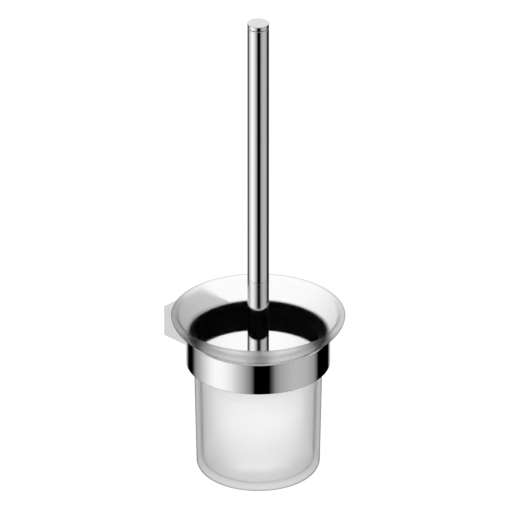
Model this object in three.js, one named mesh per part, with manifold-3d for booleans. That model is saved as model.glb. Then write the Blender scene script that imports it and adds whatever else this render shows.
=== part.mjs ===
// A wall-mounted toilet brush holder: a square post on a hidden wall plate carries a ring,
// a flared glass tumbler hangs in the ring, and a brush with a tube handle stands in the tumbler.
// Millimetres, +Z up. The origin is the middle of the wall plate's back face, the wall is the
// plane y = 0, and the object stands out from it towards -Y.
import * as THREE from "three";
import { mergeVertices } from "three/addons/utils/BufferGeometryUtils.js";
import Module from "manifold-3d";

const wasm = await Module();
wasm.setup();

// ---- driving dimensions ----
const GAP = 0.3; // clearance between pieces that touch
const OVERCUT = 1; // how far a cutting tool runs past the face it cuts
const WELD = 1e-4; // vertices closer than this are one
const ROUND = 48; // sides of the large turned pieces
const SMALL_ROUND = 24; // sides of the screws and the handle
const HEXAGON = 6;
const CURVE_STEPS = 8; // steps along the flare and round the lip
const CORNER_STEPS = 5; // steps round the neck and the foot's corner

const REACH = 82; // wall to the tumbler's axis
const RING_HEIGHT = 25;
const RING_RADIUS = 55.1;
const RING_WALL = 1.8;
const EDGE = 0.3; // chamfer that breaks a sharp metal edge

const POST_WIDTH = 40;
const POST_WALL = 2.3;
const POST_FLOOR = 3.4; // the post's lower wall is thicker, for the grub screw's thread
const POST_CAVITY_DEPTH = 13;
const POST_SEAT_STEPS = 12; // steps along the hollow face that meets the ring
const PLATE_CLEARANCE = 0.4;
const PLATE_DEPTH = 10;

const LINER_WALL = 2.4;
const LINER_WINDOW = 9.2; // width of the slot that clears the ring screws' heads
const LINER_SEAT_TURN = 0.88; // how far the liner's top edge follows the neck, in radians

const BODY_TOP_RADIUS = 49.5;
const BODY_FOOT_RADIUS = 47.3;
const BODY_FOOT_Z = -102.3;
const BODY_CORNER = 6.5;
const BODY_WALL = 4.6;
const BODY_FLOOR = 5.3;
const INNER_CORNER = 5;
const NECK_Z = 6.9; // where the straight body starts to flare
const NECK_RADIUS = 7; // radius of the hollow curve under the flare
const NECK_TURN = THREE.MathUtils.degToRad(57.5);
const RIM_RADIUS = 66.6;
const RIM_Z = 27.4;
const LIP_RADIUS = 2.2; // the rim is rounded to this radius
const FLARE_OUTSIDE = [[59.3, 16.4], [65.6, 21]]; // [radius, z] that pull the curve from neck to rim
const FLARE_INSIDE = [[60.9, 22.4], [54.8, 19.6]]; // the same inside, from rim to neck

const HANDLE_RADIUS = 8.25;
const HANDLE_WALL = 1;
const HANDLE_FOOT_Z = -15;
const HANDLE_TOP_Z = 277.1;
const CAP_HEIGHT = 3.4;
const CAP_CHAMFER = 0.5;
const CAP_SPIGOT = 14;
const INSERT_LENGTH = 20;
const INSERT_BORE_DEPTH = 11.6;
const STUD_RADIUS = 4;
const STUD_ABOVE_HEAD = 10;
const STUD_IN_HEAD = 26;
const STUD_CHAMFER = 1;
const WASHER_HEIGHT = 1.2;

const CORE_RADIUS = 11;
const CORE_FOOT_Z = -87;
const COLLAR_RADIUS = 10;
const COLLAR_HEIGHT = 4;
const CORE_CHAMFER = 1;
const HEAD_RADIUS = 37;
const BRISTLE_ROWS = 7;
const ROW_PITCH = 9.1;
const ROW_ROOT_HEIGHT = 5;
const ROW_TIP_HEIGHT = 8.4;
const FIRST_ROW_Z = -29;
const TUFTS = 14; // tufts round one row
const TUFT_SIDES = 3; // sides of the row's outline for each tuft
const TUFT_SCALLOP = 1.2; // how far the edge draws in between two tufts
const END_TUFT_SPREAD = 0.8; // the end tuft's radius as a share of the head's
const END_TUFT_EDGE = 2.2;
const END_ROW_SHORTER = 2; // the top and bottom rows stand in by this much
const FLOOR_CLEARANCE = 0.4; // between the bristles and the tumbler's floor

const WALL_SCREW_X = 10.5; // the slots for the wall screws stand this far from the middle
const WALL_SLOT = { radius: 2.5, travel: 4 };
const COUNTERBORE = { radius: 5.6, depth: 5.5 }; // takes a wall screw's head and washer
const RING_SCREW = { radius: 2, length: 10, socket: 1.4, socketDepth: 1.2 };
const RING_SCREW_HEAD = { radius: 3.8, shoulder: 3.42, shoulderHeight: 1.2, crown: 2.28, height: 2 };
const RING_SCREW_Z = 6;
const GRUB = { radius: 2, length: 5, tip: 0.8, tipLength: 1, socket: 1.15, socketDepth: 2, y: -6 };
const GRUB_RECESS = 0.3;
const NOTCH = { width: 6, length: 5, height: 2.8 };

// ---- dimensions that follow ----
const HALF_HEIGHT = RING_HEIGHT / 2;
const RING_INNER = RING_RADIUS - RING_WALL;
const LINER_OUTER = RING_INNER - GAP;
const LINER_INNER = LINER_OUTER - LINER_WALL;
const FLOOR_Z = BODY_FOOT_Z + BODY_FLOOR;
const COLLAR_TOP_Z = HANDLE_FOOT_Z - GAP - WASHER_HEIGHT - GAP;
const CAVITY_BOTTOM = -HALF_HEIGHT + POST_FLOOR;
const CAVITY_TOP = HALF_HEIGHT - POST_WALL;
const PLATE_BOTTOM = CAVITY_BOTTOM + PLATE_CLEARANCE;
const PLATE_TOP = CAVITY_TOP - PLATE_CLEARANCE;
const TUBE_BORE = HANDLE_RADIUS - HANDLE_WALL;
// The ring screws' heads seat this far from the ring's axis.
const RING_SCREW_SEAT = Math.sqrt(RING_INNER ** 2 - RING_SCREW_HEAD.radius ** 2) - GAP;
const RING_SCREW_END_Y = -REACH + RING_SCREW_SEAT + RING_SCREW.length + 2 * GAP;

// ---- making shapes ----

// A closed geometry as a solid that can be joined and cut.
function solid(geometry) {
  const bare = geometry.index ? geometry.toNonIndexed() : geometry.clone();
  bare.deleteAttribute("normal");
  bare.deleteAttribute("uv");
  const merged = mergeVertices(bare, WELD);
  const corners = merged.index.array;
  const kept = [];
  for (let i = 0; i < corners.length; i += 3) {
    const [a, b, c] = corners.slice(i, i + 3);
    if (a !== b && b !== c && c !== a) kept.push(a, b, c);
  }
  return new wasm.Manifold(
    new wasm.Mesh({
      numProp: 3,
      vertProperties: merged.attributes.position.array,
      triVerts: new Uint32Array(kept),
    }),
  );
}

// A solid back as a geometry.
function surface(made) {
  const mesh = made.getMesh();
  const geometry = new THREE.BufferGeometry();
  geometry.setAttribute("position", new THREE.BufferAttribute(mesh.vertProperties, 3));
  geometry.setIndex(new THREE.BufferAttribute(mesh.triVerts, 1));
  const flat = geometry.toNonIndexed();
  flat.computeVertexNormals();
  return flat;
}

// The base geometry with every cutter taken away.
function cut(base, cutters) {
  return surface(cutters.reduce((left, tool) => left.subtract(solid(tool)), solid(base)));
}

// A piece turned about Z. The profile's points are [radius, z], anticlockwise seen with radius
// to the right and z up, starting and ending on the axis or closing on itself.
function turned(profile, sides) {
  const points = profile.map(([radius, z]) => new THREE.Vector2(radius, z));
  return new THREE.LatheGeometry(points, sides).rotateX(Math.PI / 2);
}

function rod(radius, bottom, top, sides = SMALL_ROUND) {
  return turned([[0, bottom], [radius, bottom], [radius, top], [0, top]], sides);
}

// A turned ring of rectangular section, its outer edges broken by a small chamfer.
function band(inner, outer, bottom, top, sides) {
  const profile = [
    [inner, bottom],
    [outer - EDGE, bottom],
    [outer, bottom + EDGE],
    [outer, top - EDGE],
    [outer - EDGE, top],
    [inner, top],
    [inner, bottom],
  ];
  return turned(profile, sides);
}

function block([x0, x1], [y0, y1], [z0, z1]) {
  const made = new THREE.BoxGeometry(x1 - x0, y1 - y0, z1 - z0);
  return made.translate((x0 + x1) / 2, (y0 + y1) / 2, (z0 + z1) / 2);
}

// Lays a piece that was turned about Z along +Y.
function alongY(geometry) {
  return geometry.rotateX(-Math.PI / 2);
}

// Points on an arc in the profile plane, from one angle to another, both included.
function arc(centre, radius, from, to, steps) {
  return Array.from({ length: steps + 1 }, (_, i) => {
    const angle = from + ((to - from) * i) / steps;
    return [centre[0] + radius * Math.cos(angle), centre[1] + radius * Math.sin(angle)];
  });
}

// Points on a cubic curve in the profile plane, without its first point.
function curve(start, pulls, end) {
  const corners = [start, ...pulls, end].map((point) => new THREE.Vector2(...point));
  const path = new THREE.CubicBezierCurve(...corners);
  return path.getPoints(CURVE_STEPS).slice(1).map((point) => [point.x, point.y]);
}

// ---- the holder: wall plate, post and ring ----

// A slot through the plate for a wall screw, with the screw free to slide along X or Z.
function slotCutter(x, alongX) {
  const half = WALL_SLOT.travel / 2;
  const front = -PLATE_DEPTH - OVERCUT;
  const hole = () => alongY(rod(WALL_SLOT.radius, front, OVERCUT));
  const ends = [-half, half].map((shift) => {
    return alongX ? hole().translate(x + shift, 0, 0) : hole().translate(x, 0, shift);
  });
  const wide = alongX ? half : WALL_SLOT.radius;
  const high = alongX ? WALL_SLOT.radius : half;
  return [...ends, block([x - wide, x + wide], [front, OVERCUT], [-high, high])];
}

// The round recess in the plate's front that takes a wall screw's head.
function recessCutter(x) {
  const recess = rod(COUNTERBORE.radius, -PLATE_DEPTH - OVERCUT, -PLATE_DEPTH + COUNTERBORE.depth);
  return alongY(recess).translate(x, 0, 0);
}

function wallPlate() {
  const half = POST_WIDTH / 2 - POST_WALL - PLATE_CLEARANCE;
  const notch = block(
    [-NOTCH.width / 2, NOTCH.width / 2],
    [GRUB.y - NOTCH.length / 2, GRUB.y + NOTCH.length / 2],
    [PLATE_BOTTOM - OVERCUT, PLATE_BOTTOM + NOTCH.height],
  );
  return cut(block([-half, half], [-PLATE_DEPTH, 0], [PLATE_BOTTOM, PLATE_TOP]), [
    ...slotCutter(-WALL_SCREW_X, true),
    ...slotCutter(WALL_SCREW_X, false),
    recessCutter(-WALL_SCREW_X),
    recessCutter(WALL_SCREW_X),
    notch,
  ]);
}

function bracketPost() {
  const half = POST_WIDTH / 2;
  const seat = RING_RADIUS + GAP;
  const side = Math.asin(half / seat);
  const outline = new THREE.Shape();
  outline.moveTo(half, 0);
  outline.lineTo(-half, 0);
  outline.absarc(0, -REACH, seat, Math.PI / 2 + side, Math.PI / 2 - side, true);
  const settings = { depth: RING_HEIGHT, bevelEnabled: false, curveSegments: POST_SEAT_STEPS };
  const body = new THREE.ExtrudeGeometry(outline, settings).translate(0, 0, -HALF_HEIGHT);
  const cavity = block(
    [-half + POST_WALL, half - POST_WALL],
    [-POST_CAVITY_DEPTH, OVERCUT],
    [CAVITY_BOTTOM, CAVITY_TOP],
  );
  const ringScrewHole = (z) => {
    const hole = rod(RING_SCREW.radius + GAP, -REACH / 2, RING_SCREW_END_Y);
    return alongY(hole).translate(0, 0, z);
  };
  const grubHole = rod(GRUB.radius + GAP, -HALF_HEIGHT - OVERCUT, CAVITY_BOTTOM + OVERCUT);
  return cut(body, [
    cavity,
    ringScrewHole(RING_SCREW_Z),
    ringScrewHole(-RING_SCREW_Z),
    grubHole.translate(0, GRUB.y, 0),
  ]);
}

function grubScrew() {
  const { radius, length, tip, tipLength, socket, socketDepth } = GRUB;
  const body = turned(
    [
      [0, 0],
      [radius - EDGE, 0],
      [radius, EDGE],
      [radius, length - tipLength],
      [tip, length],
      [0, length],
    ],
    SMALL_ROUND,
  );
  const hexagon = rod(socket, -OVERCUT, socketDepth, HEXAGON);
  return cut(body, [hexagon]).translate(0, GRUB.y, -HALF_HEIGHT + GRUB_RECESS);
}

// The pieces below are turned about the tumbler's axis and placed by a group that stands there.

function holderRing() {
  const hole = (z) => alongY(rod(RING_SCREW.radius + GAP, 0, RING_RADIUS + OVERCUT)).translate(0, 0, z);
  const ring = band(RING_INNER, RING_RADIUS, -HALF_HEIGHT, HALF_HEIGHT, ROUND);
  return cut(ring, [hole(RING_SCREW_Z), hole(-RING_SCREW_Z)]);
}

// A low round-headed socket screw, its head against the ring's inner face.
function ringScrew() {
  const { radius, length, socket, socketDepth } = RING_SCREW;
  const head = RING_SCREW_HEAD;
  const body = turned(
    [
      [0, -head.height],
      [head.crown, -head.height],
      [head.shoulder, -head.shoulderHeight],
      [head.radius, 0],
      [radius, 0],
      [radius, length],
      [0, length],
    ],
    SMALL_ROUND,
  );
  const hexagon = rod(socket, -head.height - OVERCUT, -head.height + socketDepth, HEXAGON);
  return cut(alongY(body), [alongY(hexagon)]).translate(0, RING_SCREW_SEAT, 0);
}

// The outside of the tumbler's neck: a hollow quarter that turns the straight body into the flare.
const NECK_CENTRE = [BODY_TOP_RADIUS + NECK_RADIUS, NECK_Z];

function neck(radius, turn) {
  return arc(NECK_CENTRE, radius, Math.PI, Math.PI - turn, CORNER_STEPS);
}

// The liner's top edge follows the glass, which rests on it.
function ringLiner() {
  const follow = neck(NECK_RADIUS - GAP, LINER_SEAT_TURN);
  const seat = follow.filter(([radius]) => radius > LINER_INNER).reverse();
  const outerTop = seat[0][1];
  const innerTop = seat.at(-1)[1] - EDGE;
  const profile = [
    [LINER_INNER, -HALF_HEIGHT + EDGE],
    [LINER_OUTER, -HALF_HEIGHT + EDGE],
    [LINER_OUTER, outerTop],
    ...seat,
    [LINER_INNER, innerTop],
    [LINER_INNER, -HALF_HEIGHT + EDGE],
  ];
  const reach = RING_SCREW_Z + RING_SCREW_HEAD.radius + GAP;
  const window = block([-LINER_WINDOW / 2, LINER_WINDOW / 2], [0, RING_RADIUS], [-reach, reach]);
  return cut(turned(profile, ROUND), [window]);
}

// ---- the tumbler ----

function glassTumbler() {
  const outerNeck = neck(NECK_RADIUS, NECK_TURN);
  const innerNeck = neck(NECK_RADIUS + BODY_WALL, NECK_TURN).reverse();
  const lip = arc([RIM_RADIUS - LIP_RADIUS, RIM_Z], LIP_RADIUS, 0, Math.PI, CURVE_STEPS);
  const innerFoot = BODY_FOOT_RADIUS - BODY_WALL;
  const outerCorner = [BODY_FOOT_RADIUS - BODY_CORNER, BODY_FOOT_Z + BODY_CORNER];
  const innerCorner = [innerFoot - INNER_CORNER, FLOOR_Z + INNER_CORNER];
  return turned(
    [
      [0, BODY_FOOT_Z],
      ...arc(outerCorner, BODY_CORNER, -Math.PI / 2, 0, CORNER_STEPS),
      ...outerNeck,
      ...curve(outerNeck.at(-1), FLARE_OUTSIDE, lip[0]),
      ...lip.slice(1),
      ...curve(lip.at(-1), FLARE_INSIDE, innerNeck[0]),
      ...innerNeck.slice(1),
      ...arc(innerCorner, INNER_CORNER, 0, -Math.PI / 2, CORNER_STEPS),
      [0, FLOOR_Z],
    ],
    ROUND,
  );
}

// ---- the brush ----

function handleTube() {
  return band(TUBE_BORE, HANDLE_RADIUS, HANDLE_FOOT_Z, HANDLE_TOP_Z - CAP_HEIGHT - GAP, SMALL_ROUND);
}

function handleTopCap() {
  const under = HANDLE_TOP_Z - CAP_HEIGHT;
  return turned(
    [
      [0, under - CAP_SPIGOT],
      [TUBE_BORE - GAP, under - CAP_SPIGOT],
      [TUBE_BORE - GAP, under],
      [HANDLE_RADIUS, under],
      [HANDLE_RADIUS, HANDLE_TOP_Z - CAP_CHAMFER],
      [HANDLE_RADIUS - CAP_CHAMFER, HANDLE_TOP_Z],
      [0, HANDLE_TOP_Z],
    ],
    SMALL_ROUND,
  );
}

function threadedInsert() {
  const bottom = HANDLE_FOOT_Z + EDGE;
  return turned(
    [
      [STUD_RADIUS + GAP, bottom],
      [TUBE_BORE - GAP, bottom],
      [TUBE_BORE - GAP, bottom + INSERT_LENGTH],
      [0, bottom + INSERT_LENGTH],
      [0, bottom + INSERT_BORE_DEPTH],
      [STUD_RADIUS + GAP, bottom + INSERT_BORE_DEPTH],
      [STUD_RADIUS + GAP, bottom],
    ],
    SMALL_ROUND,
  );
}

function sealingWasher() {
  const bottom = COLLAR_TOP_Z + GAP;
  return band(STUD_RADIUS + GAP, HANDLE_RADIUS - EDGE, bottom, bottom + WASHER_HEIGHT, SMALL_ROUND);
}

function threadedStud() {
  const top = COLLAR_TOP_Z + STUD_ABOVE_HEAD;
  const bottom = COLLAR_TOP_Z - STUD_IN_HEAD;
  return turned(
    [
      [0, bottom],
      [STUD_RADIUS, bottom],
      [STUD_RADIUS, top - STUD_CHAMFER],
      [STUD_RADIUS - STUD_CHAMFER, top],
      [0, top],
    ],
    SMALL_ROUND,
  );
}

function headCore() {
  const pocket = STUD_RADIUS + GAP;
  const pocketFoot = COLLAR_TOP_Z - STUD_IN_HEAD - GAP;
  return turned(
    [
      [0, CORE_FOOT_Z],
      [CORE_RADIUS - CORE_CHAMFER, CORE_FOOT_Z],
      [CORE_RADIUS, CORE_FOOT_Z + CORE_CHAMFER],
      [CORE_RADIUS, COLLAR_TOP_Z - COLLAR_HEIGHT],
      [COLLAR_RADIUS, COLLAR_TOP_Z - COLLAR_HEIGHT + CORE_CHAMFER],
      [COLLAR_RADIUS, COLLAR_TOP_Z - CORE_CHAMFER],
      [COLLAR_RADIUS - CORE_CHAMFER, COLLAR_TOP_Z],
      [pocket, COLLAR_TOP_Z],
      [pocket, pocketFoot],
      [0, pocketFoot],
    ],
    SMALL_ROUND,
  );
}

// Draws the edge of a turned bristle ring in between its tufts.
function scallop(geometry, inner, outer) {
  const place = geometry.attributes.position;
  for (let i = 0; i < place.count; i += 1) {
    const x = place.getX(i);
    const y = place.getY(i);
    const radius = Math.hypot(x, y);
    const share = Math.max(0, (radius - inner) / (outer - inner));
    const between = (1 - Math.cos(TUFTS * Math.atan2(y, x))) / 2;
    const scale = radius > 0 ? 1 - (TUFT_SCALLOP * share * between) / radius : 1;
    place.setXY(i, x * scale, y * scale);
  }
  return geometry;
}

// One row of tufts as a soft ring, narrow at the core and spread at the tips.
function bristleRow(z, outer) {
  const inner = CORE_RADIUS + GAP;
  const root = ROW_ROOT_HEIGHT / 2;
  const tip = ROW_TIP_HEIGHT / 2;
  const ring = turned(
    [[inner, z - root], [outer, z - tip], [outer, z + tip], [inner, z + root], [inner, z - root]],
    TUFTS * TUFT_SIDES,
  );
  return scallop(ring, inner, outer);
}

// The tuft set in the core's lower end, splayed out over the tumbler's floor.
function endTuft() {
  const bottom = FLOOR_Z + FLOOR_CLEARANCE;
  const top = CORE_FOOT_Z - GAP;
  const outer = HEAD_RADIUS * END_TUFT_SPREAD;
  const profile = [
    [0, bottom],
    [outer, bottom],
    [outer, bottom + END_TUFT_EDGE],
    [CORE_RADIUS - CORE_CHAMFER, top],
    [0, top],
  ];
  const ring = turned(profile, TUFTS * TUFT_SIDES);
  return scallop(ring, CORE_RADIUS, outer);
}

// ---- materials ----

const finishes = {
  chrome: { color: 0xd9dbde, roughness: 0.05, metalness: 1 },
  steel: { color: 0xb4b7ba, roughness: 0.35, metalness: 1 },
  blackSteel: { color: 0x1b1b1c, roughness: 0.5, metalness: 1 },
  brass: { color: 0xc7a663, roughness: 0.35, metalness: 1 },
  glass: { color: 0xf1f4f5, roughness: 0.6, metalness: 0, transparent: true, opacity: 0.45 },
  blackPlastic: { color: 0x0c0c0d, roughness: 0.6, metalness: 0 },
  whitePlastic: { color: 0xf2f2f0, roughness: 0.45, metalness: 0 },
  rubber: { color: 0x2b2b2c, roughness: 0.85, metalness: 0 },
  bristle: { color: 0xf6f6f4, roughness: 0.8, metalness: 0 },
};

// ---- assembly ----

const group = new THREE.Group();
const holder = new THREE.Group();
const tumbler = new THREE.Group();
const brush = new THREE.Group();
group.add(holder, tumbler, brush);
tumbler.position.y = -REACH;
brush.position.y = -REACH;

function add(parent, name, geometry, finish, place = [0, 0, 0]) {
  const mesh = new THREE.Mesh(geometry, new THREE.MeshStandardMaterial(finishes[finish]));
  mesh.name = name;
  mesh.position.set(...place);
  parent.add(mesh);
}

add(holder, "wall_plate", wallPlate(), "steel");
add(holder, "bracket_post", bracketPost(), "chrome");
add(holder, "grub_screw", grubScrew(), "steel");
add(holder, "holder_ring", holderRing(), "chrome", [0, -REACH, 0]);
add(holder, "ring_screw_upper", ringScrew(), "blackSteel", [0, -REACH, RING_SCREW_Z]);
add(holder, "ring_screw_lower", ringScrew(), "blackSteel", [0, -REACH, -RING_SCREW_Z]);
add(holder, "ring_liner", ringLiner(), "blackPlastic", [0, -REACH, 0]);

add(tumbler, "glass_tumbler", glassTumbler(), "glass");

add(brush, "handle_tube", handleTube(), "chrome");
add(brush, "handle_top_cap", handleTopCap(), "chrome");
add(brush, "handle_threaded_insert", threadedInsert(), "brass");
add(brush, "handle_sealing_washer", sealingWasher(), "rubber");
add(brush, "head_threaded_stud", threadedStud(), "steel");
add(brush, "head_core", headCore(), "whitePlastic");
for (let row = 0; row < BRISTLE_ROWS; row += 1) {
  const isEnd = row === 0 || row === BRISTLE_ROWS - 1;
  const outer = HEAD_RADIUS - (isEnd ? END_ROW_SHORTER : 0);
  add(brush, `bristle_row_${row + 1}`, bristleRow(FIRST_ROW_Z - row * ROW_PITCH, outer), "bristle");
}
add(brush, "bristle_end_tuft", endTuft(), "bristle");

export default group;
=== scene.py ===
"""A wall-mounted toilet brush holder: a chromed post and ring, a frosted glass tumbler and a brush.

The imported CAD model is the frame. Each piece is made around it, in metres, and rides on one of its bodies.
The camera stands where the photograph's did, and all the light comes from the world.
"""

import math
import random

import bmesh
import bpy
from mathutils import Matrix, Vector


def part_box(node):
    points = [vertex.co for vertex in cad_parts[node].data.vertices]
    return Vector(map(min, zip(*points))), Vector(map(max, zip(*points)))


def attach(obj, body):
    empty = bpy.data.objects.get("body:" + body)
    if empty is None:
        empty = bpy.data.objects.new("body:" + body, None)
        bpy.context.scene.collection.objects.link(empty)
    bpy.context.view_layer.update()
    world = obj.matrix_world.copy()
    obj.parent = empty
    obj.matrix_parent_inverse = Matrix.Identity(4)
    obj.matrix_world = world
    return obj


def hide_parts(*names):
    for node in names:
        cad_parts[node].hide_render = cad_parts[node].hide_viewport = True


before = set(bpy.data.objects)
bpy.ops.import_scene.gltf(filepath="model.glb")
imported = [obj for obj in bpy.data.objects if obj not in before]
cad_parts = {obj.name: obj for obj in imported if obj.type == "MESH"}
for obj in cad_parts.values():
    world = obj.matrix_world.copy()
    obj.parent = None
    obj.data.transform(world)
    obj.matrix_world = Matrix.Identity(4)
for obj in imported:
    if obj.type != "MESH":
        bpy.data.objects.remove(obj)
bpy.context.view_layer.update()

MM = 0.001
SEED = 7
SCENE = bpy.context.scene

# ---- camera ----

VIEW_AZIMUTH = math.radians(-45)
VIEW_ELEVATION = math.radians(27.24)
VIEW_WIDTH = 390.9 * MM  # what the frame takes in at the object
VIEW_HEIGHT_Z = 78.2 * MM  # the height that the camera aims at
VIEW_ASIDE = 1.7 * MM  # the camera aims this far to the left of the handle
LENS_MM = 1500
SENSOR_MM = 36
CLIP_END = 100

ring_low, ring_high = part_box("holder_ring")
AXIS = Vector(((ring_low.x + ring_high.x) / 2, (ring_low.y + ring_high.y) / 2, 0))


def make_camera():
    flat = math.cos(VIEW_ELEVATION)
    to_camera = Vector(
        (flat * math.sin(VIEW_AZIMUTH), -flat * math.cos(VIEW_AZIMUTH), math.sin(VIEW_ELEVATION))
    )
    right = Vector((math.cos(VIEW_AZIMUTH), math.sin(VIEW_AZIMUTH), 0))
    target = AXIS + Vector((0, 0, VIEW_HEIGHT_Z)) - right * VIEW_ASIDE
    data = bpy.data.cameras.new("camera")
    data.lens = LENS_MM
    data.sensor_width = SENSOR_MM
    data.clip_end = CLIP_END
    camera = bpy.data.objects.new("camera", data)
    SCENE.collection.objects.link(camera)
    camera.location = target + to_camera * (VIEW_WIDTH * LENS_MM / SENSOR_MM)
    camera.rotation_euler = (-to_camera).to_track_quat("-Z", "Y").to_euler()
    SCENE.camera = camera


make_camera()

# ---- material helpers ----


def new_material(name):
    material = bpy.data.materials.new(name)
    material.use_nodes = True
    tree = material.node_tree
    return material, tree, tree.nodes["Principled BSDF"]


def grey(level):
    return level, level, level


def noise(tree, scale, detail=4, stretch=(1, 1, 1)):
    """A noise in the object's own space, its scale in waves per metre."""
    place = tree.nodes.new("ShaderNodeTexCoord")
    mapping = tree.nodes.new("ShaderNodeMapping")
    mapping.inputs["Scale"].default_value = stretch
    texture = tree.nodes.new("ShaderNodeTexNoise")
    texture.inputs["Scale"].default_value = scale
    texture.inputs["Detail"].default_value = detail
    tree.links.new(place.outputs["Object"], mapping.inputs["Vector"])
    tree.links.new(mapping.outputs["Vector"], texture.inputs["Vector"])
    return texture.outputs["Fac"]


NOISE_RANGE = 0.3, 0.7  # where most of a noise lies


def spread(tree, source, low, high, start=NOISE_RANGE[0], end=NOISE_RANGE[1]):
    """The source between start and end, spread from low to high."""
    made = tree.nodes.new("ShaderNodeMapRange")
    made.inputs["From Min"].default_value = start
    made.inputs["From Max"].default_value = end
    made.inputs["To Min"].default_value = low
    made.inputs["To Max"].default_value = high
    tree.links.new(source, made.inputs["Value"])
    return made.outputs["Result"]


def roughen(tree, shader, source, low, high):
    """A roughness that wanders from low to high with the source."""
    tree.links.new(spread(tree, source, low, high), shader.inputs["Roughness"])


def bump(tree, shader, relief, depth):
    """Fine relief from a noise, its depth in metres."""
    made = tree.nodes.new("ShaderNodeBump")
    made.inputs["Distance"].default_value = depth
    tree.links.new(relief, made.inputs["Height"])
    tree.links.new(made.outputs["Normal"], shader.inputs["Normal"])


# The colour mix node's sockets share their names with its other types' sockets, so they are found by number.
MIX_SHARE = 0
MIX_FIRST = 6
MIX_SECOND = 7
MIX_RESULT = 2


def mix_colours(tree, source, dark, light):
    """A colour that goes from the first to the second as the source goes from 0 to 1."""
    made = tree.nodes.new("ShaderNodeMix")
    made.data_type = "RGBA"
    made.inputs[MIX_FIRST].default_value = (*dark, 1)
    made.inputs[MIX_SECOND].default_value = (*light, 1)
    tree.links.new(source, made.inputs[MIX_SHARE])
    return made.outputs[MIX_RESULT]


def tint(tree, shader, source, dark, light):
    """A base colour that wanders from dark to light with the source."""
    tree.links.new(mix_colours(tree, source, dark, light), shader.inputs["Base Color"])


# ---- materials ----

cup_low, cup_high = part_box("glass_tumbler")
WHITE = grey(1)
SHADE_TURN = 0.19, 0.51  # how far the glass has turned away where its painted shade starts to grey it, and where it's greyest
PAINTED_SHADE_GREY = grey(0.88)
# painted shade: the dark line at the glass's edges
EDGE_SHADE_GREY = grey(0.05)
EDGE_ON_BODY = 0.78  # how far the glass has turned away where its painted dark edge line starts, 1 being edge-on
EDGE_AT_FOOT = 0.45
EDGE_AT_RIM = 0.35
RIM_EDGE_STRENGTH = 0.65
EDGE_FADE = 3 * MM
FOOT_EDGE_Z = cup_low.z + 4 * MM
RIM_EDGE_Z = cup_high.z - 2 * MM
SHADED_ROWS = -80 * MM, -50 * MM  # painted shade: the bristles are painted dull at the first height, and white from the second up
WHITE_END = -93 * MM, -86 * MM  # they are white again, without painted shade, at the first of these, in the end tuft


def chrome(name, dark, light):
    """Polished plating, with the faint cloudiness of wiping."""
    material, tree, shader = new_material(name)
    shader.inputs["Metallic"].default_value = 1
    tint(tree, shader, noise(tree, scale=60, detail=5), dark, light)
    roughen(tree, shader, noise(tree, scale=35, detail=6), low=0.015, high=0.04)
    return material


def turned_metal(name, dark, light, rough):
    """Machined metal with fine turning marks."""
    material, tree, shader = new_material(name)
    shader.inputs["Metallic"].default_value = 1
    marks = noise(tree, scale=900, detail=3, stretch=(0.15, 0.15, 2.5))
    tint(tree, shader, marks, dark, light)
    roughen(tree, shader, marks, low=rough - 0.08, high=rough + 0.1)
    bump(tree, shader, marks, depth=0.01 * MM)
    return material


def brushed_metal(name, dark, light):
    """Sheet steel with a long level grain."""
    material, tree, shader = new_material(name)
    shader.inputs["Metallic"].default_value = 1
    grain = noise(tree, scale=1400, detail=4, stretch=(0.03, 1, 1))
    tint(tree, shader, grain, dark, light)
    roughen(tree, shader, grain, low=0.26, high=0.46)
    bump(tree, shader, grain, depth=0.02 * MM)
    return material


def turned_away(tree):
    """0 where the surface faces the viewer and 1 where it's seen edge-on."""
    weight = tree.nodes.new("ShaderNodeLayerWeight")
    weight.inputs["Blend"].default_value = 0.5
    return weight.outputs["Facing"]


def height(tree):
    """The height above the frame's origin, in metres."""
    place = tree.nodes.new("ShaderNodeTexCoord")
    parts = tree.nodes.new("ShaderNodeSeparateXYZ")
    tree.links.new(place.outputs["Object"], parts.inputs[0])
    return parts.outputs["Z"]


def calculate(tree, operation, *sources):
    """A math node's result. A source is a socket or a number."""
    made = tree.nodes.new("ShaderNodeMath")
    made.operation = operation
    for socket, source in zip(made.inputs, sources):
        if isinstance(source, (int, float)):
            socket.default_value = source
        else:
            tree.links.new(source, socket)
    return made.outputs[0]


def painted_edge_line(tree):
    """The thin dark line of painted shade where the glass is seen edge-on, standing in for the dark
    surroundings that the glass's edges bend in. A tightly rounded edge turns away faster, so the line starts
    sooner there."""
    z = height(tree)
    rim = RIM_EDGE_Z - EDGE_FADE, RIM_EDGE_Z
    at_foot = spread(tree, z, EDGE_AT_FOOT, EDGE_ON_BODY, FOOT_EDGE_Z, FOOT_EDGE_Z + EDGE_FADE)
    sooner_at_rim = spread(tree, z, 0, EDGE_ON_BODY - EDGE_AT_RIM, *rim)
    line = tree.nodes.new("ShaderNodeMapRange")
    tree.links.new(turned_away(tree), line.inputs["Value"])
    tree.links.new(calculate(tree, "SUBTRACT", at_foot, sooner_at_rim), line.inputs["From Min"])
    strength = spread(tree, z, 1, RIM_EDGE_STRENGTH, *rim)
    return calculate(tree, "MULTIPLY", line.outputs["Result"], strength)


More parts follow.
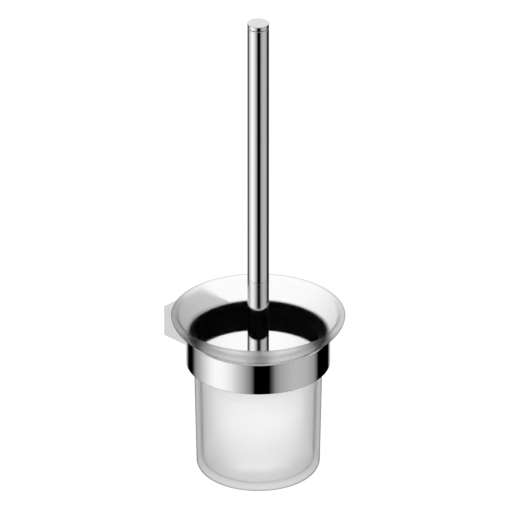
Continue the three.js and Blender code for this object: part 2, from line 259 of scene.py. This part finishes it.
def frosted_glass():
    """Satin glass: light passes but scatters, and a long way through the glass takes some of it. Its colour
    also holds painted shade, greyer where the wall is seen more edge-on, and a painted dark line at its
    edges.
    """
    material, tree, shader = new_material("glass_frosted")
    shader.inputs["Transmission Weight"].default_value = 1
    shader.inputs["IOR"].default_value = 1.06
    cloud = noise(tree, scale=40, detail=4)
    clear = mix_colours(tree, cloud, (0.988, 0.99, 0.99), WHITE)
    # painted shade: the glass is painted greyer where it is seen more edge-on
    shaded = mix_colours(tree, spread(tree, turned_away(tree), 0, 1, *SHADE_TURN), WHITE, PAINTED_SHADE_GREY)
    # painted shade: a dark line where the glass is seen edge-on
    edge_line_shaded = mix_colours(tree, painted_edge_line(tree), WHITE, EDGE_SHADE_GREY)
    tree.links.new(clear, shaded.node.inputs[MIX_FIRST])
    tree.links.new(shaded, edge_line_shaded.node.inputs[MIX_FIRST])
    tree.links.new(edge_line_shaded, shader.inputs["Base Color"])
    roughen(tree, shader, cloud, low=0.95, high=1)
    bump(tree, shader, noise(tree, scale=2600, detail=2), depth=0.006 * MM)
    volume = tree.nodes.new("ShaderNodeVolumeAbsorption")
    volume.inputs["Color"].default_value = (0, 0, 0, 1)
    volume.inputs["Density"].default_value = 14
    tree.links.new(volume.outputs["Volume"], tree.nodes["Material Output"].inputs["Volume"])
    return material


def moulded(name, dark, light, rough, grain_depth, shine=0.5):
    """Plastic or rubber with the fine grain of its mould."""
    material, tree, shader = new_material(name)
    shader.inputs["IOR"].default_value = 1.49
    shader.inputs["Specular IOR Level"].default_value = shine
    cloud = noise(tree, scale=90, detail=5)
    tint(tree, shader, cloud, dark, light)
    roughen(tree, shader, cloud, low=rough - 0.05, high=rough + 0.06)
    bump(tree, shader, noise(tree, scale=1500, detail=3), grain_depth)
    return material


def depth_shade(tree):
    """The mask of the bristles' painted shade: 1 at the brush's middle, 0 at its lowest rows, where the shade
    is darkest, and 1 again at the end tuft.
    """
    z = height(tree)
    rows = spread(tree, z, 0, 1, *SHADED_ROWS)
    end = spread(tree, z, 1, 0, *WHITE_END)
    return calculate(tree, "MAXIMUM", rows, end)


def nylon_bristle():
    """Clear white nylon, with painted shade that makes it a little duller where less light reaches it in the
    lower part of the tumbler.
    """
    material, tree, shader = new_material("nylon_bristle")
    shader.inputs["IOR"].default_value = 1.53
    shader.inputs["Specular IOR Level"].default_value = 0.3
    along = noise(tree, scale=700, detail=3)
    white = mix_colours(tree, along, (0.9, 0.9, 0.895), (0.97, 0.97, 0.967))
    # painted shade: the bristles are painted greyer in the lower rows, where less light reaches them
    painted_shade = mix_colours(tree, depth_shade(tree), (0.76, 0.76, 0.757), WHITE)
    tree.links.new(white, painted_shade.node.inputs[MIX_SECOND])
    tree.links.new(painted_shade, shader.inputs["Base Color"])
    roughen(tree, shader, along, low=0.35, high=0.5)
    return material


CHROME = chrome("chrome_polished", (0.95, 0.953, 0.957), (0.965, 0.967, 0.97))
CHROME_POST = chrome("chrome_post", (0.85, 0.853, 0.857), (0.87, 0.872, 0.875))
BRUSHED = brushed_metal("steel_brushed", (0.5, 0.505, 0.51), (0.66, 0.665, 0.67))
SCREW_STEEL = turned_metal("steel_turned", (0.52, 0.525, 0.53), (0.68, 0.685, 0.69), rough=0.28)
BLACK_STEEL = turned_metal("steel_blackened", grey(0.006), grey(0.013), rough=0.5)
BRASS = turned_metal("brass_turned", (0.66, 0.49, 0.24), (0.78, 0.62, 0.34), rough=0.3)
GLASS = frosted_glass()
BLACK_PLASTIC = moulded("plastic_black", grey(0.0008), grey(0.002), 0.55, grain_depth=0.01 * MM, shine=0.03)
WHITE_PLASTIC = moulded("plastic_white", (0.84, 0.84, 0.83), (0.9, 0.9, 0.89), 0.36, grain_depth=0.008 * MM)
SEAL_RUBBER = moulded("rubber_seal", (0.02, 0.02, 0.021), (0.045, 0.045, 0.046), 0.75, grain_depth=0.02 * MM)
BRISTLE = nylon_bristle()

# ---- mesh helpers ----

SHARP = math.radians(35)  # faces that meet at more than this keep a crisp edge


def new_piece(name, mesh, material):
    mesh.materials.clear()
    mesh.materials.append(material)
    made = bpy.data.objects.new(name, mesh)
    SCENE.collection.objects.link(made)
    return made


def smooth_faces(mesh):
    mesh.shade_smooth()
    mesh.set_sharp_from_angle(angle=SHARP)


def stands_for(piece, body, node):
    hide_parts(node)
    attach(piece, body)


def arc(centre, radius, start, end, steps):
    """Points on an arc in the profile plane, both ends included."""
    return [
        (
            centre[0] + radius * math.cos(start + (end - start) * i / steps),
            centre[1] + radius * math.sin(start + (end - start) * i / steps),
        )
        for i in range(steps + 1)
    ]


def curve(start, pull, push, end, steps=24):
    """Points on a cubic curve in the profile plane, without its first point."""
    out = []
    for i in range(1, steps + 1):
        t = i / steps
        weights = ((1 - t) ** 3, 3 * (1 - t) ** 2 * t, 3 * (1 - t) * t * t, t**3)
        corners = (start, pull, push, end)
        out.append(tuple(sum(w * p[k] for w, p in zip(weights, corners)) for k in (0, 1)))
    return out


LONG_SIDE = 4  # a side longer than this many corner reaches is long
SIDE_SHARE = 0.4  # the most of a side that a rounded corner takes


def rounded(profile, radius, closed=True, steps=3):
    """The profile with its corners rounded. An extra point on a long side keeps it flat when it is shaded."""
    points = [Vector(p[:2]) for p in profile]
    count = len(points)
    out = []
    for i, corner in enumerate(points):
        if not closed and i in (0, count - 1):
            out.append(tuple(corner))
            continue
        before = points[i - 1] - corner
        after = points[(i + 1) % count] - corner
        reach = min(radius, before.length * SIDE_SHARE, after.length * SIDE_SHARE)
        start = corner + before.normalized() * reach
        end = corner + after.normalized() * reach
        if before.length > LONG_SIDE * reach:
            out.append(tuple(start + before.normalized() * reach / 2))
        for step in range(steps + 1):
            t = step / steps
            out.append(tuple((1 - t) ** 2 * start + 2 * (1 - t) * t * corner + t * t * end))
        if after.length > LONG_SIDE * reach:
            out.append(tuple(end + after.normalized() * reach / 2))
    return out


def turned(name, profile, material, sides, closed=True, place=None):
    """A piece turned about the tumbler's axis, or about the Z axis of the given place. The profile's points
    are (radius, z), anticlockwise with radius to the right, and an open one starts and ends on the axis. A
    third value is a function of (radius, z, angle) that gives the radius there, for a thread or a hexagon."""
    mesh = bpy.data.meshes.new(name)
    bm = bmesh.new()
    rings = []
    for radius, z, *shape in profile:
        ring = []
        for i in range(sides if radius > 0 else 1):
            angle = math.tau * i / sides
            out = shape[0](radius, z, angle) if shape else radius
            ring.append(bm.verts.new((out * math.cos(angle), out * math.sin(angle), z)))
        rings.append(ring)
    pairs = list(zip(rings, rings[1:]))
    if closed:
        pairs.append((rings[-1], rings[0]))
    for low, high in pairs:
        for i in range(sides):
            j = (i + 1) % sides
            corners = [low[i % len(low)], low[j % len(low)], high[j % len(high)], high[i % len(high)]]
            face = list(dict.fromkeys(corners))
            if len(face) > 2:
                bm.faces.new(face)
    bm.transform(place if place else Matrix.Translation(AXIS))
    bm.normal_update()
    bm.to_mesh(mesh)
    bm.free()
    smooth_faces(mesh)
    return new_piece(name, mesh, material)


HEXAGON_SECTOR = math.tau / 6  # the angle that one side takes


def hexagon(radius, z, angle):
    """A six-sided hole whose corners lie at the radius."""
    flat = radius * math.cos(HEXAGON_SECTOR / 2)
    return flat / math.cos(angle % HEXAGON_SECTOR - HEXAGON_SECTOR / 2)


THREAD_RINGS = 8  # rings of points along one pitch


def thread(radius, start, end, pitch, depth):
    """The stretch of a profile from start to end as a screw thread, running out at both ends."""

    def ridge(at_radius, z, angle):
        wave = abs((z / pitch - angle / math.tau) % 1 - 0.5) * 2
        run_out = min(abs(z - start), abs(z - end)) / pitch
        return at_radius - depth * wave * min(1, run_out)

    count = round(abs(end - start) / pitch * THREAD_RINGS)
    return [(radius, start + (end - start) * i / count, ridge) for i in range(count + 1)]


SAME_PLACE = 1e-6  # vertices closer than this are one, in metres
FACET_ANGLE = math.radians(2)  # faces that meet at less than this are one facet
EDGE_ANGLE = math.radians(30)  # edges that turn more than this are broken


def softened_copy(name, node, material, radius):
    """The CAD node's shape with its flat facets joined and its edges broken."""
    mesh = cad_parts[node].data.copy()
    bm = bmesh.new()
    bm.from_mesh(mesh)
    bmesh.ops.remove_doubles(bm, verts=bm.verts, dist=SAME_PLACE)
    bmesh.ops.dissolve_limit(bm, angle_limit=FACET_ANGLE, verts=bm.verts, edges=bm.edges)
    bm.to_mesh(mesh)
    bm.free()
    smooth_faces(mesh)
    made = new_piece(name, mesh, material)
    edge = made.modifiers.new("edge", "BEVEL")
    edge.width = radius
    edge.segments = 3
    edge.limit_method = "ANGLE"
    edge.angle_limit = EDGE_ANGLE
    edge.harden_normals = True
    return made


# ---- the tumbler ----

ROUND = 256  # sides of the wide round pieces
NECK_Z = 6.9 * MM
NECK_RADIUS = 7 * MM
NECK_TURN = math.radians(57.5)
NECK_STEPS = 14
BODY_TOP_RADIUS = 49.5 * MM
BODY_FOOT_RADIUS = 47.3 * MM
BODY_CORNER = 6.5 * MM
BODY_WALL = 4.6 * MM
BODY_FLOOR = 5.3 * MM
INNER_CORNER = 5 * MM
LIP_RADIUS = 2.2 * MM
LIP_TURN = 0.8 * math.pi
LIP_STEPS = 16
CORNER_STEPS = 12
# The points that each side of the flare's curve is pulled to, as (radius, z).
FLARE_OUTSIDE = (59.3 * MM, 16.4 * MM), (65.6 * MM, 21 * MM)
FLARE_INSIDE = (59.6 * MM, 24.4 * MM), (54.8 * MM, 19.6 * MM)
RIM_RADIUS = (cup_high.x - cup_low.x) / 2
RIM_Z = cup_high.z - LIP_RADIUS
DISC_SHARES = 0, 0.5, 0.9  # where a flat disc has rings of points, as shares of its radius


def neck(radius, turn=NECK_TURN):
    centre = (BODY_TOP_RADIUS + NECK_RADIUS, NECK_Z)
    return arc(centre, radius, math.pi, math.pi - turn, NECK_STEPS)


def make_tumbler():
    foot = cup_low.z
    floor = foot + BODY_FLOOR
    inner_foot = BODY_FOOT_RADIUS - BODY_WALL
    outer_neck = neck(NECK_RADIUS)
    inner_neck = neck(NECK_RADIUS + BODY_WALL)[::-1]
    lip = arc((RIM_RADIUS - LIP_RADIUS, RIM_Z), LIP_RADIUS, 0, LIP_TURN, LIP_STEPS)
    outer_centre = (BODY_FOOT_RADIUS - BODY_CORNER, foot + BODY_CORNER)
    outer_corner = arc(outer_centre, BODY_CORNER, -math.pi / 2, 0, CORNER_STEPS)
    inner_centre = (inner_foot - INNER_CORNER, floor + INNER_CORNER)
    inner_corner = arc(inner_centre, INNER_CORNER, 0, -math.pi / 2, CORNER_STEPS)
    profile = [
        *[(outer_corner[0][0] * share, foot) for share in DISC_SHARES],
        *outer_corner,
        *outer_neck,
        *curve(outer_neck[-1], *FLARE_OUTSIDE, lip[0]),
        *lip[1:],
        *curve(lip[-1], *FLARE_INSIDE, inner_neck[0]),
        *inner_neck[1:],
        *inner_corner,
        *[(inner_corner[-1][0] * share, floor) for share in DISC_SHARES[::-1]],
    ]
    cup = turned("tumbler_glass", profile, GLASS, ROUND, closed=False)
    stands_for(cup, "tumbler", "glass_tumbler")


# ---- the holder ----

RING_RADIUS = (ring_high.x - ring_low.x) / 2
RING_WALL = 1.8 * MM
METAL_EDGE = 0.35 * MM
PLASTIC_EDGE = 0.25 * MM
BLOCK_EDGE = 0.45 * MM
PLATE_EDGE = 0.3 * MM
LINER_WALL = 2.4 * MM
LINER_SEAT_TURN = 0.88  # how far the liner's top edge follows the tumbler's neck, in radians
SEAT_STRIDE = 4  # the seat takes every fourth point of the neck's arc
LINER_SKIN = 0.4 * MM  # what is left of the liner's wall in front of the ring screws' heads
RECESS_MARGIN = 0.8 * MM  # clearance beside the heads
RECESS_SLOPE = 0.2 * MM
GAP = 0.3 * MM  # the clearance between pieces, and the small chamfers


def make_ring():
    inner = RING_RADIUS - RING_WALL
    corners = [
        (inner, ring_low.z),
        (RING_RADIUS, ring_low.z),
        (RING_RADIUS, ring_high.z),
        (inner, ring_high.z),
    ]
    band = turned("ring_band", rounded(corners, METAL_EDGE), CHROME, ROUND)
    stands_for(band, "holder", "holder_ring")


def make_liner():
    """A black sleeve. A recess in its back takes the ring screws' heads, and a thin skin hides them."""
    low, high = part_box("ring_liner")
    outer = (high.x - low.x) / 2
    inner = outer - LINER_WALL
    seat = [point for point in neck(NECK_RADIUS - GAP, LINER_SEAT_TURN) if point[0] > inner][::-1]
    corners = [
        (inner, low.z),
        (outer, low.z),
        (outer, seat[0][1]),
        *seat[::SEAT_STRIDE],
        (inner, seat[-1][1] - GAP),
    ]
    screw_low, screw_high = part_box("ring_screw_upper")
    reach = screw_high.z + GAP
    half_turn = ((screw_high.x - screw_low.x) / 2 + RECESS_MARGIN) / outer

    def recessed(radius, z, angle):
        return inner + LINER_SKIN if abs(angle - math.pi / 2) < half_turn else radius

    profile = rounded(corners, PLASTIC_EDGE)
    outside = next(i for i, point in enumerate(profile) if point[1] > 0)
    profile[outside:outside] = [
        (outer, -reach - RECESS_SLOPE),
        (outer, -reach, recessed),
        (outer, reach, recessed),
        (outer, reach + RECESS_SLOPE),
    ]
    sleeve = turned("liner_sleeve", profile, BLACK_PLASTIC, ROUND)
    stands_for(sleeve, "holder", "ring_liner")


def make_blocks():
    """The bracket post and the wall plate inside it."""
    post = softened_copy("post_block", "bracket_post", CHROME_POST, BLOCK_EDGE)
    stands_for(post, "holder", "bracket_post")
    plate = softened_copy("plate_block", "wall_plate", BRUSHED, PLATE_EDGE)
    stands_for(plate, "holder", "wall_plate")


# ---- screws ----

SCREW_SIDES = 48
M4_RADIUS = 2 * MM
M4_PITCH = 0.7 * MM
M4_DEPTH = 0.38 * MM
HEAD_HEIGHT = 2 * MM
HEAD_CROWN = 2.1 * MM  # radius of the flat on top of the head
HEAD_PULL = 0.82, 0.6  # where the dome's curve is pulled to, as shares of the head's radius and height
HEAD_STEPS = 10
HEAD_SOCKET = 1.4 * MM
HEAD_SOCKET_FLOOR = -0.8 * MM


def make_ring_screw(name, node):
    """A black button-headed socket screw, lying along Y with its head inside the ring."""
    low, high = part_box(node)
    head = (high.x - low.x) / 2
    length = high.y - low.y - HEAD_HEIGHT
    pull = (head * HEAD_PULL[0], -HEAD_HEIGHT)
    push = (head, -HEAD_HEIGHT * HEAD_PULL[1])
    profile = [
        (0, HEAD_SOCKET_FLOOR),
        (HEAD_SOCKET / 2, HEAD_SOCKET_FLOOR),
        (HEAD_SOCKET, HEAD_SOCKET_FLOOR, hexagon),
        (HEAD_SOCKET, -HEAD_HEIGHT, hexagon),
        (HEAD_CROWN, -HEAD_HEIGHT),
        *curve((HEAD_CROWN, -HEAD_HEIGHT), pull, push, (head, -GAP / 2), HEAD_STEPS),
        (head, 0),
        (M4_RADIUS, 0),
        *thread(M4_RADIUS, GAP, length - GAP, M4_PITCH, M4_DEPTH),
        (M4_RADIUS - GAP, length),
        (0, length),
    ]
    middle = Vector(((low.x + high.x) / 2, low.y + HEAD_HEIGHT, (low.z + high.z) / 2))
    place = Matrix.Translation(middle) @ Matrix.Rotation(-math.pi / 2, 4, "X")
    screw = turned(name, profile, BLACK_STEEL, SCREW_SIDES, closed=False, place=place)
    stands_for(screw, "holder", node)


def make_grub_screw():
    """A socket set screw, standing in the post's lower wall with its cone upwards."""
    low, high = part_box("grub_screw")
    radius = (high.x - low.x) / 2
    length = high.z - low.z
    socket = 1.15 * MM
    socket_floor = 2 * MM
    cone = 1 * MM
    tip = 0.8 * MM
    profile = [
        (0, socket_floor),
        (socket / 2, socket_floor),
        (socket, socket_floor, hexagon),
        (socket, 0, hexagon),
        (radius - GAP, 0),
        *thread(radius, GAP, length - cone, M4_PITCH, M4_DEPTH),
        (tip, length),
        (0, length),
    ]
    place = Matrix.Translation(Vector(((low.x + high.x) / 2, (low.y + high.y) / 2, low.z)))
    screw = turned("set_screw", profile, SCREW_STEEL, SCREW_SIDES, closed=False, place=place)
    stands_for(screw, "holder", "grub_screw")


# ---- the brush's handle ----

HANDLE_SIDES = 128
tube_low, tube_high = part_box("handle_tube")
HANDLE_RADIUS = (tube_high.x - tube_low.x) / 2
TUBE_WALL = 1 * MM
TUBE_BORE = HANDLE_RADIUS - TUBE_WALL
TUBE_EDGE = 0.2 * MM
CAP_EDGE = 0.3 * MM
INSERT_BORE = 4.3 * MM
INSERT_BORE_DEPTH = 11.6 * MM
INSERT_THREAD_DEPTH = -0.3 * MM  # below zero, because it is cut outwards from the bore
WASHER_BORE = 4.3 * MM
WASHER_EDGE = 0.4 * MM
M8_PITCH = 1.25 * MM
M8_DEPTH = 0.65 * MM
STUD_CHAMFER = 1 * MM


def make_tube():
    corners = [
        (TUBE_BORE, tube_low.z),
        (HANDLE_RADIUS, tube_low.z),
        (HANDLE_RADIUS, tube_high.z),
        (TUBE_BORE, tube_high.z),
    ]
    tube = turned("grip_tube", rounded(corners, TUBE_EDGE), CHROME, HANDLE_SIDES)
    stands_for(tube, "handle", "handle_tube")


def make_cap():
    low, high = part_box("handle_top_cap")
    under = tube_high.z + GAP
    spigot = TUBE_BORE - GAP
    corners = [
        (0, low.z),
        (spigot, low.z),
        (spigot, under),
        (HANDLE_RADIUS, under),
        (HANDLE_RADIUS, high.z),
        (0, high.z),
    ]
    profile = rounded(corners, CAP_EDGE, closed=False)
    cap = turned("grip_cap", profile, CHROME, HANDLE_SIDES, closed=False)
    stands_for(cap, "handle", "handle_top_cap")


def make_insert():
    """The brass plug in the tube's lower end, with the handle's inside thread."""
    low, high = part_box("handle_threaded_insert")
    outer = (high.x - low.x) / 2
    bore_top = low.z + INSERT_BORE_DEPTH
    profile = [
        (0, bore_top),
        (INSERT_BORE, bore_top),
        *thread(INSERT_BORE, bore_top - GAP, low.z + GAP, M8_PITCH, INSERT_THREAD_DEPTH),
        (INSERT_BORE + GAP, low.z),
        (outer - GAP, low.z),
        (outer, low.z + GAP),
        (outer, high.z - GAP),
        (outer - GAP, high.z),
        (0, high.z),
    ]
    insert = turned("brass_insert", profile, BRASS, HANDLE_SIDES, closed=False)
    stands_for(insert, "handle", "handle_threaded_insert")


def make_washer():
    low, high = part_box("handle_sealing_washer")
    outer = (high.x - low.x) / 2
    corners = [(WASHER_BORE, low.z), (outer, low.z), (outer, high.z), (WASHER_BORE, high.z)]
    profile = rounded(corners, WASHER_EDGE, steps=5)
    washer = turned("seal_washer", profile, SEAL_RUBBER, HANDLE_SIDES)
    stands_for(washer, "seal", "handle_sealing_washer")


# ---- the brush's head ----

core_low, core_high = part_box("head_core")
CORE_RADIUS = (core_high.x - core_low.x) / 2
COLLAR_RADIUS = 10 * MM
COLLAR_HEIGHT = 4 * MM
COLLAR_SLOPE = 1 * MM
CORE_EDGE = 0.8 * MM
POCKET_RADIUS = 4.3 * MM


def make_stud():
    low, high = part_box("head_threaded_stud")
    radius = (high.x - low.x) / 2
    profile = [
        (0, low.z),
        (radius, low.z),
        *thread(radius, low.z + GAP, high.z - STUD_CHAMFER, M8_PITCH, M8_DEPTH),
        (radius - STUD_CHAMFER, high.z),
        (0, high.z),
    ]
    stud = turned("stud_m8", profile, SCREW_STEEL, SCREW_SIDES, closed=False)
    stands_for(stud, "brush_head", "head_threaded_stud")


def make_core():
    pocket_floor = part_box("head_threaded_stud")[0].z - GAP
    shoulder = core_high.z - COLLAR_HEIGHT
    corners = [
        (0, core_low.z),
        (CORE_RADIUS, core_low.z),
        (CORE_RADIUS, shoulder),
        (COLLAR_RADIUS, shoulder + COLLAR_SLOPE),
        (COLLAR_RADIUS, core_high.z),
        (POCKET_RADIUS, core_high.z),
        (POCKET_RADIUS, pocket_floor),
        (0, pocket_floor),
    ]
    profile = rounded(corners, CORE_EDGE, closed=False, steps=5)
    core = turned("head_body", profile, WHITE_PLASTIC, HANDLE_SIDES, closed=False)
    stands_for(core, "brush_head", "head_core")


# ---- bristles ----

FILAMENT_RADIUS = 0.28 * MM
FILAMENTS = 60  # in one tuft
END_FILAMENTS = 700
TUFTS = 14
ROWS = 7
TUFT_MOUTH = 2.1 * MM  # radius of the hole that a tuft stands in
TIP_SHARE = 0.8  # a bristle's thickness at its tip, as a share of the rest
ROOT_SHARE = 0.97  # where a row's bristles start, as a share of the core's radius
LENGTH_SPREAD = 0.035  # how much shorter a row's shortest bristles reach, as a share
ROW_BOW = 0.35 * MM
END_ROOT_SHARE = 0.85
END_LIFT = 1.6 * MM  # how much higher the outermost bristles of the end tuft stop
END_LIFT_SHARES = 0.4, 1  # the least and the most of that lift
END_BOW = 1.2 * MM
END_BOW_RISE = 0.5  # how far the bow leans upwards, against outwards


def filament(bm, root, tip, bow):
    """A three-sided bristle, bowed at its middle and a little thinner at its tip."""
    along = (tip - root).normalized()
    side = along.orthogonal().normalized()
    rings = []
    for place, share in ((root, 1), ((root + tip) / 2 + bow, 1), (tip, TIP_SHARE)):
        ring = []
        for i in range(3):
            out = Matrix.Rotation(math.tau * i / 3, 3, along) @ side
            ring.append(bm.verts.new(place + out * FILAMENT_RADIUS * share))
        rings.append(ring)
    for low, high in zip(rings, rings[1:]):
        for i in range(3):
            j = (i + 1) % 3
            bm.faces.new((low[i], low[j], high[j], high[i]))
    bm.faces.new(rings[0][::-1])
    bm.faces.new(rings[-1])


def disc_point(rng):
    """An even random point in a disc of radius 1."""
    angle = rng.uniform(0, math.tau)
    reach = math.sqrt(rng.random())
    return reach * math.cos(angle), reach * math.sin(angle)


def bristle_piece(name, bm, node):
    mesh = bpy.data.meshes.new(name)
    bm.to_mesh(mesh)
    bm.free()
    mesh.shade_smooth()
    tufts = new_piece(name, mesh, BRISTLE)
    tufts.visible_diffuse = False
    stands_for(tufts, "brush_head", node)


def make_row(number, rng):
    node = f"bristle_row_{number}"
    low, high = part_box(node)
    root_reach = CORE_RADIUS * ROOT_SHARE
    tip_reach = (high.x - low.x) / 2 - FILAMENT_RADIUS
    middle = (low.z + high.z) / 2
    half_height = (high.z - low.z) / 2 - 2 * FILAMENT_RADIUS
    bm = bmesh.new()
    for tuft in range(TUFTS):
        heading = math.tau * (tuft + 0.5 * (number % 2)) / TUFTS
        for _ in range(FILAMENTS):
            across, up = disc_point(rng)
            root_angle = heading + across * TUFT_MOUTH / CORE_RADIUS
            tip_angle = heading + across * math.pi / TUFTS
            reach = tip_reach * (1 - LENGTH_SPREAD * rng.random())
            root_out = Vector((math.cos(root_angle), math.sin(root_angle), 0)) * root_reach
            tip_out = Vector((math.cos(tip_angle), math.sin(tip_angle), 0)) * reach
            root = AXIS + root_out + Vector((0, 0, middle + up * TUFT_MOUTH))
            tip = AXIS + tip_out + Vector((0, 0, middle + up * half_height))
            bow = Vector((rng.uniform(-1, 1), rng.uniform(-1, 1), rng.uniform(-1, 1))) * ROW_BOW
            filament(bm, root, tip, bow)
    bristle_piece(f"tufts_row_{number}", bm, node)


def make_end_tuft(rng):
    low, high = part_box("bristle_end_tuft")
    outer = (high.x - low.x) / 2 - FILAMENT_RADIUS
    bm = bmesh.new()
    for _ in range(END_FILAMENTS):
        across, along = disc_point(rng)
        way = Vector((across, along, 0))
        root = AXIS + way * CORE_RADIUS * END_ROOT_SHARE + Vector((0, 0, core_low.z + GAP))
        lift = END_LIFT * way.length_squared * rng.uniform(*END_LIFT_SHARES)
        tip = AXIS + way * outer + Vector((0, 0, low.z + FILAMENT_RADIUS + lift))
        bow = (way + Vector((0, 0, END_BOW_RISE))) * END_BOW
        filament(bm, root, tip, bow)
    bristle_piece("tufts_end", bm, "bristle_end_tuft")


# ---- making the pieces ----

make_ring()
make_liner()
make_ring_screw("button_screw_upper", "ring_screw_upper")
make_ring_screw("button_screw_lower", "ring_screw_lower")
make_grub_screw()
make_blocks()
make_tumbler()
make_tube()
make_cap()
make_insert()
make_washer()
make_stud()
make_core()
bristle_rng = random.Random(SEED)
for row in range(1, ROWS + 1):
    make_row(row, bristle_rng)
make_end_tuft(bristle_rng)

# ---- studio ----

FLOOR_DROP = 0.75  # metres from the tumbler's foot down to the floor
FLOOR_SIZE = 60


def make_floor():
    mesh = bpy.data.meshes.new("floor")
    half = FLOOR_SIZE / 2
    z = cup_low.z - FLOOR_DROP
    corners = [(-half, -half, z), (half, -half, z), (half, half, z), (-half, half, z)]
    mesh.from_pydata(corners, [], [(0, 1, 2, 3)])
    material, tree, shader = new_material("floor_pale")
    shader.inputs["Specular IOR Level"].default_value = 0
    tint(tree, shader, noise(tree, scale=3), grey(0.965), grey(0.975))
    floor = new_piece("floor", mesh, material)
    floor.visible_glossy = False
    floor.visible_transmission = False


# What polished metal mirrors: brightness by degrees to the right of the camera. A bright soft card stands on
# the left, a dimmer one on the right and another behind the object, with dark between them.
BEHIND = 0.55
CARD_BEHIND = [(-166, BEHIND), (-152, 0), (152, 0), (166, BEHIND)]
CARD_LEFT = [
    (-132, 0), (-127, 0.06), (-123, 0.2), (-118, 0.3), (-108, 0.43), (-95, 0.67), (-84, 0.86), (-73, 0.98),
    (-60, 0.97), (-45, 0.82), (-29, 0.52), (-12, 0.2), (-6, 0),
]
CARD_RIGHT = [
    (18, 0), (23, 0.09), (28, 0.25), (36, 0.37), (54, 0.47), (66, 0.49), (83, 0.45), (94, 0.37), (101, 0.3),
    (107, 0.15), (112, 0),
]
CEILING = 0.78  # what level polished metal mirrors
TOP = 0.25  # the brightness straight overhead
NADIR = 0.2  # the brightness straight below, as a share of the cards
SEEN_THROUGH = 1.04  # the white behind the glass
FROM_ABOVE = 1.12  # soft light on the plastics, bristles and floor
FROM_BELOW = 0.5
THROUGH_GLASS_GAIN = 0.85  # how much more of it reaches what stands inside the tumbler

# Where the parts of the studio begin and end, by the rise of a ray: -1 is straight down and 1 straight up.
# Upright metal seen from above mirrors what lies below level, so the cards stand there.
NADIR_RIM = -0.8, -0.6
CARDS_TOP = -0.09, -0.03
CEILING_FOOT = 0.02, 0.15
TOP_RIM = 0.5, 0.6
SOFT_RANGE = -0.7, 0.7


def blend(tree, share, first, second):
    """Goes from the first brightness to the second as the share goes from 0 to 1."""
    of_first = calculate(tree, "MULTIPLY", calculate(tree, "SUBTRACT", 1, share), first)
    of_second = calculate(tree, "MULTIPLY", share, second)
    return calculate(tree, "ADD", of_first, of_second)


def card_brightness(tree, ray):
    """The brightness of the cards by the ray's heading. The camera's heading is the middle of the ramp."""
    heading = calculate(tree, "ARCTAN2", ray.outputs["Y"], ray.outputs["X"])
    camera_heading = VIEW_AZIMUTH - math.pi / 2
    turns = calculate(tree, "DIVIDE", calculate(tree, "SUBTRACT", heading, camera_heading), math.tau)
    ramp = tree.nodes.new("ShaderNodeValToRGB")
    stops = ramp.color_ramp.elements
    stops[0].color = stops[-1].color = (*grey(BEHIND), 1)
    for degrees, level in CARD_BEHIND + CARD_LEFT + CARD_RIGHT:
        stops.new((degrees + 180) / 360).color = (*grey(level), 1)
    tree.links.new(calculate(tree, "FRACT", calculate(tree, "ADD", turns, 0.5)), ramp.inputs["Fac"])
    return ramp.outputs["Color"]


def has_met(tree, path, kind):
    """1 for a ray that has met a surface of this kind on its way, and 0 for any other."""
    return calculate(tree, "GREATER_THAN", path.outputs[kind + " Depth"], 0.5)


def make_world():
    """Metal mirrors the cards and the ceiling, other surfaces get soft light, and glass shows plain white."""
    world = bpy.data.worlds.new("studio")
    world.use_nodes = True
    world.cycles.sampling_method = "NONE"
    tree = world.node_tree
    where = tree.nodes.new("ShaderNodeTexCoord")
    ray = tree.nodes.new("ShaderNodeSeparateXYZ")
    tree.links.new(where.outputs["Generated"], ray.inputs[0])
    rise = ray.outputs["Z"]

    below_level = spread(tree, rise, 1, 0, *CARDS_TOP)
    above_nadir = spread(tree, rise, NADIR, 1, *NADIR_RIM)
    lit_part = calculate(tree, "MULTIPLY", below_level, above_nadir)
    cards = calculate(tree, "MULTIPLY", card_brightness(tree, ray), lit_part)
    ceiling = spread(tree, rise, CEILING, TOP, *TOP_RIM)
    mirrored = blend(tree, spread(tree, rise, 0, 1, *CEILING_FOOT), cards, ceiling)

    path = tree.nodes.new("ShaderNodeLightPath")
    gain = calculate(tree, "MULTIPLY_ADD", has_met(tree, path, "Transmission"), THROUGH_GLASS_GAIN, 1)
    soft = calculate(tree, "MULTIPLY", spread(tree, rise, FROM_BELOW, FROM_ABOVE, *SOFT_RANGE), gain)
    light = blend(tree, has_met(tree, path, "Glossy"), SEEN_THROUGH, mirrored)
    light = blend(tree, has_met(tree, path, "Diffuse"), light, soft)
    tree.links.new(light, tree.nodes["Background"].inputs["Color"])
    SCENE.world = world


make_floor()
make_world()
SCENE.view_settings.view_transform = "Standard"
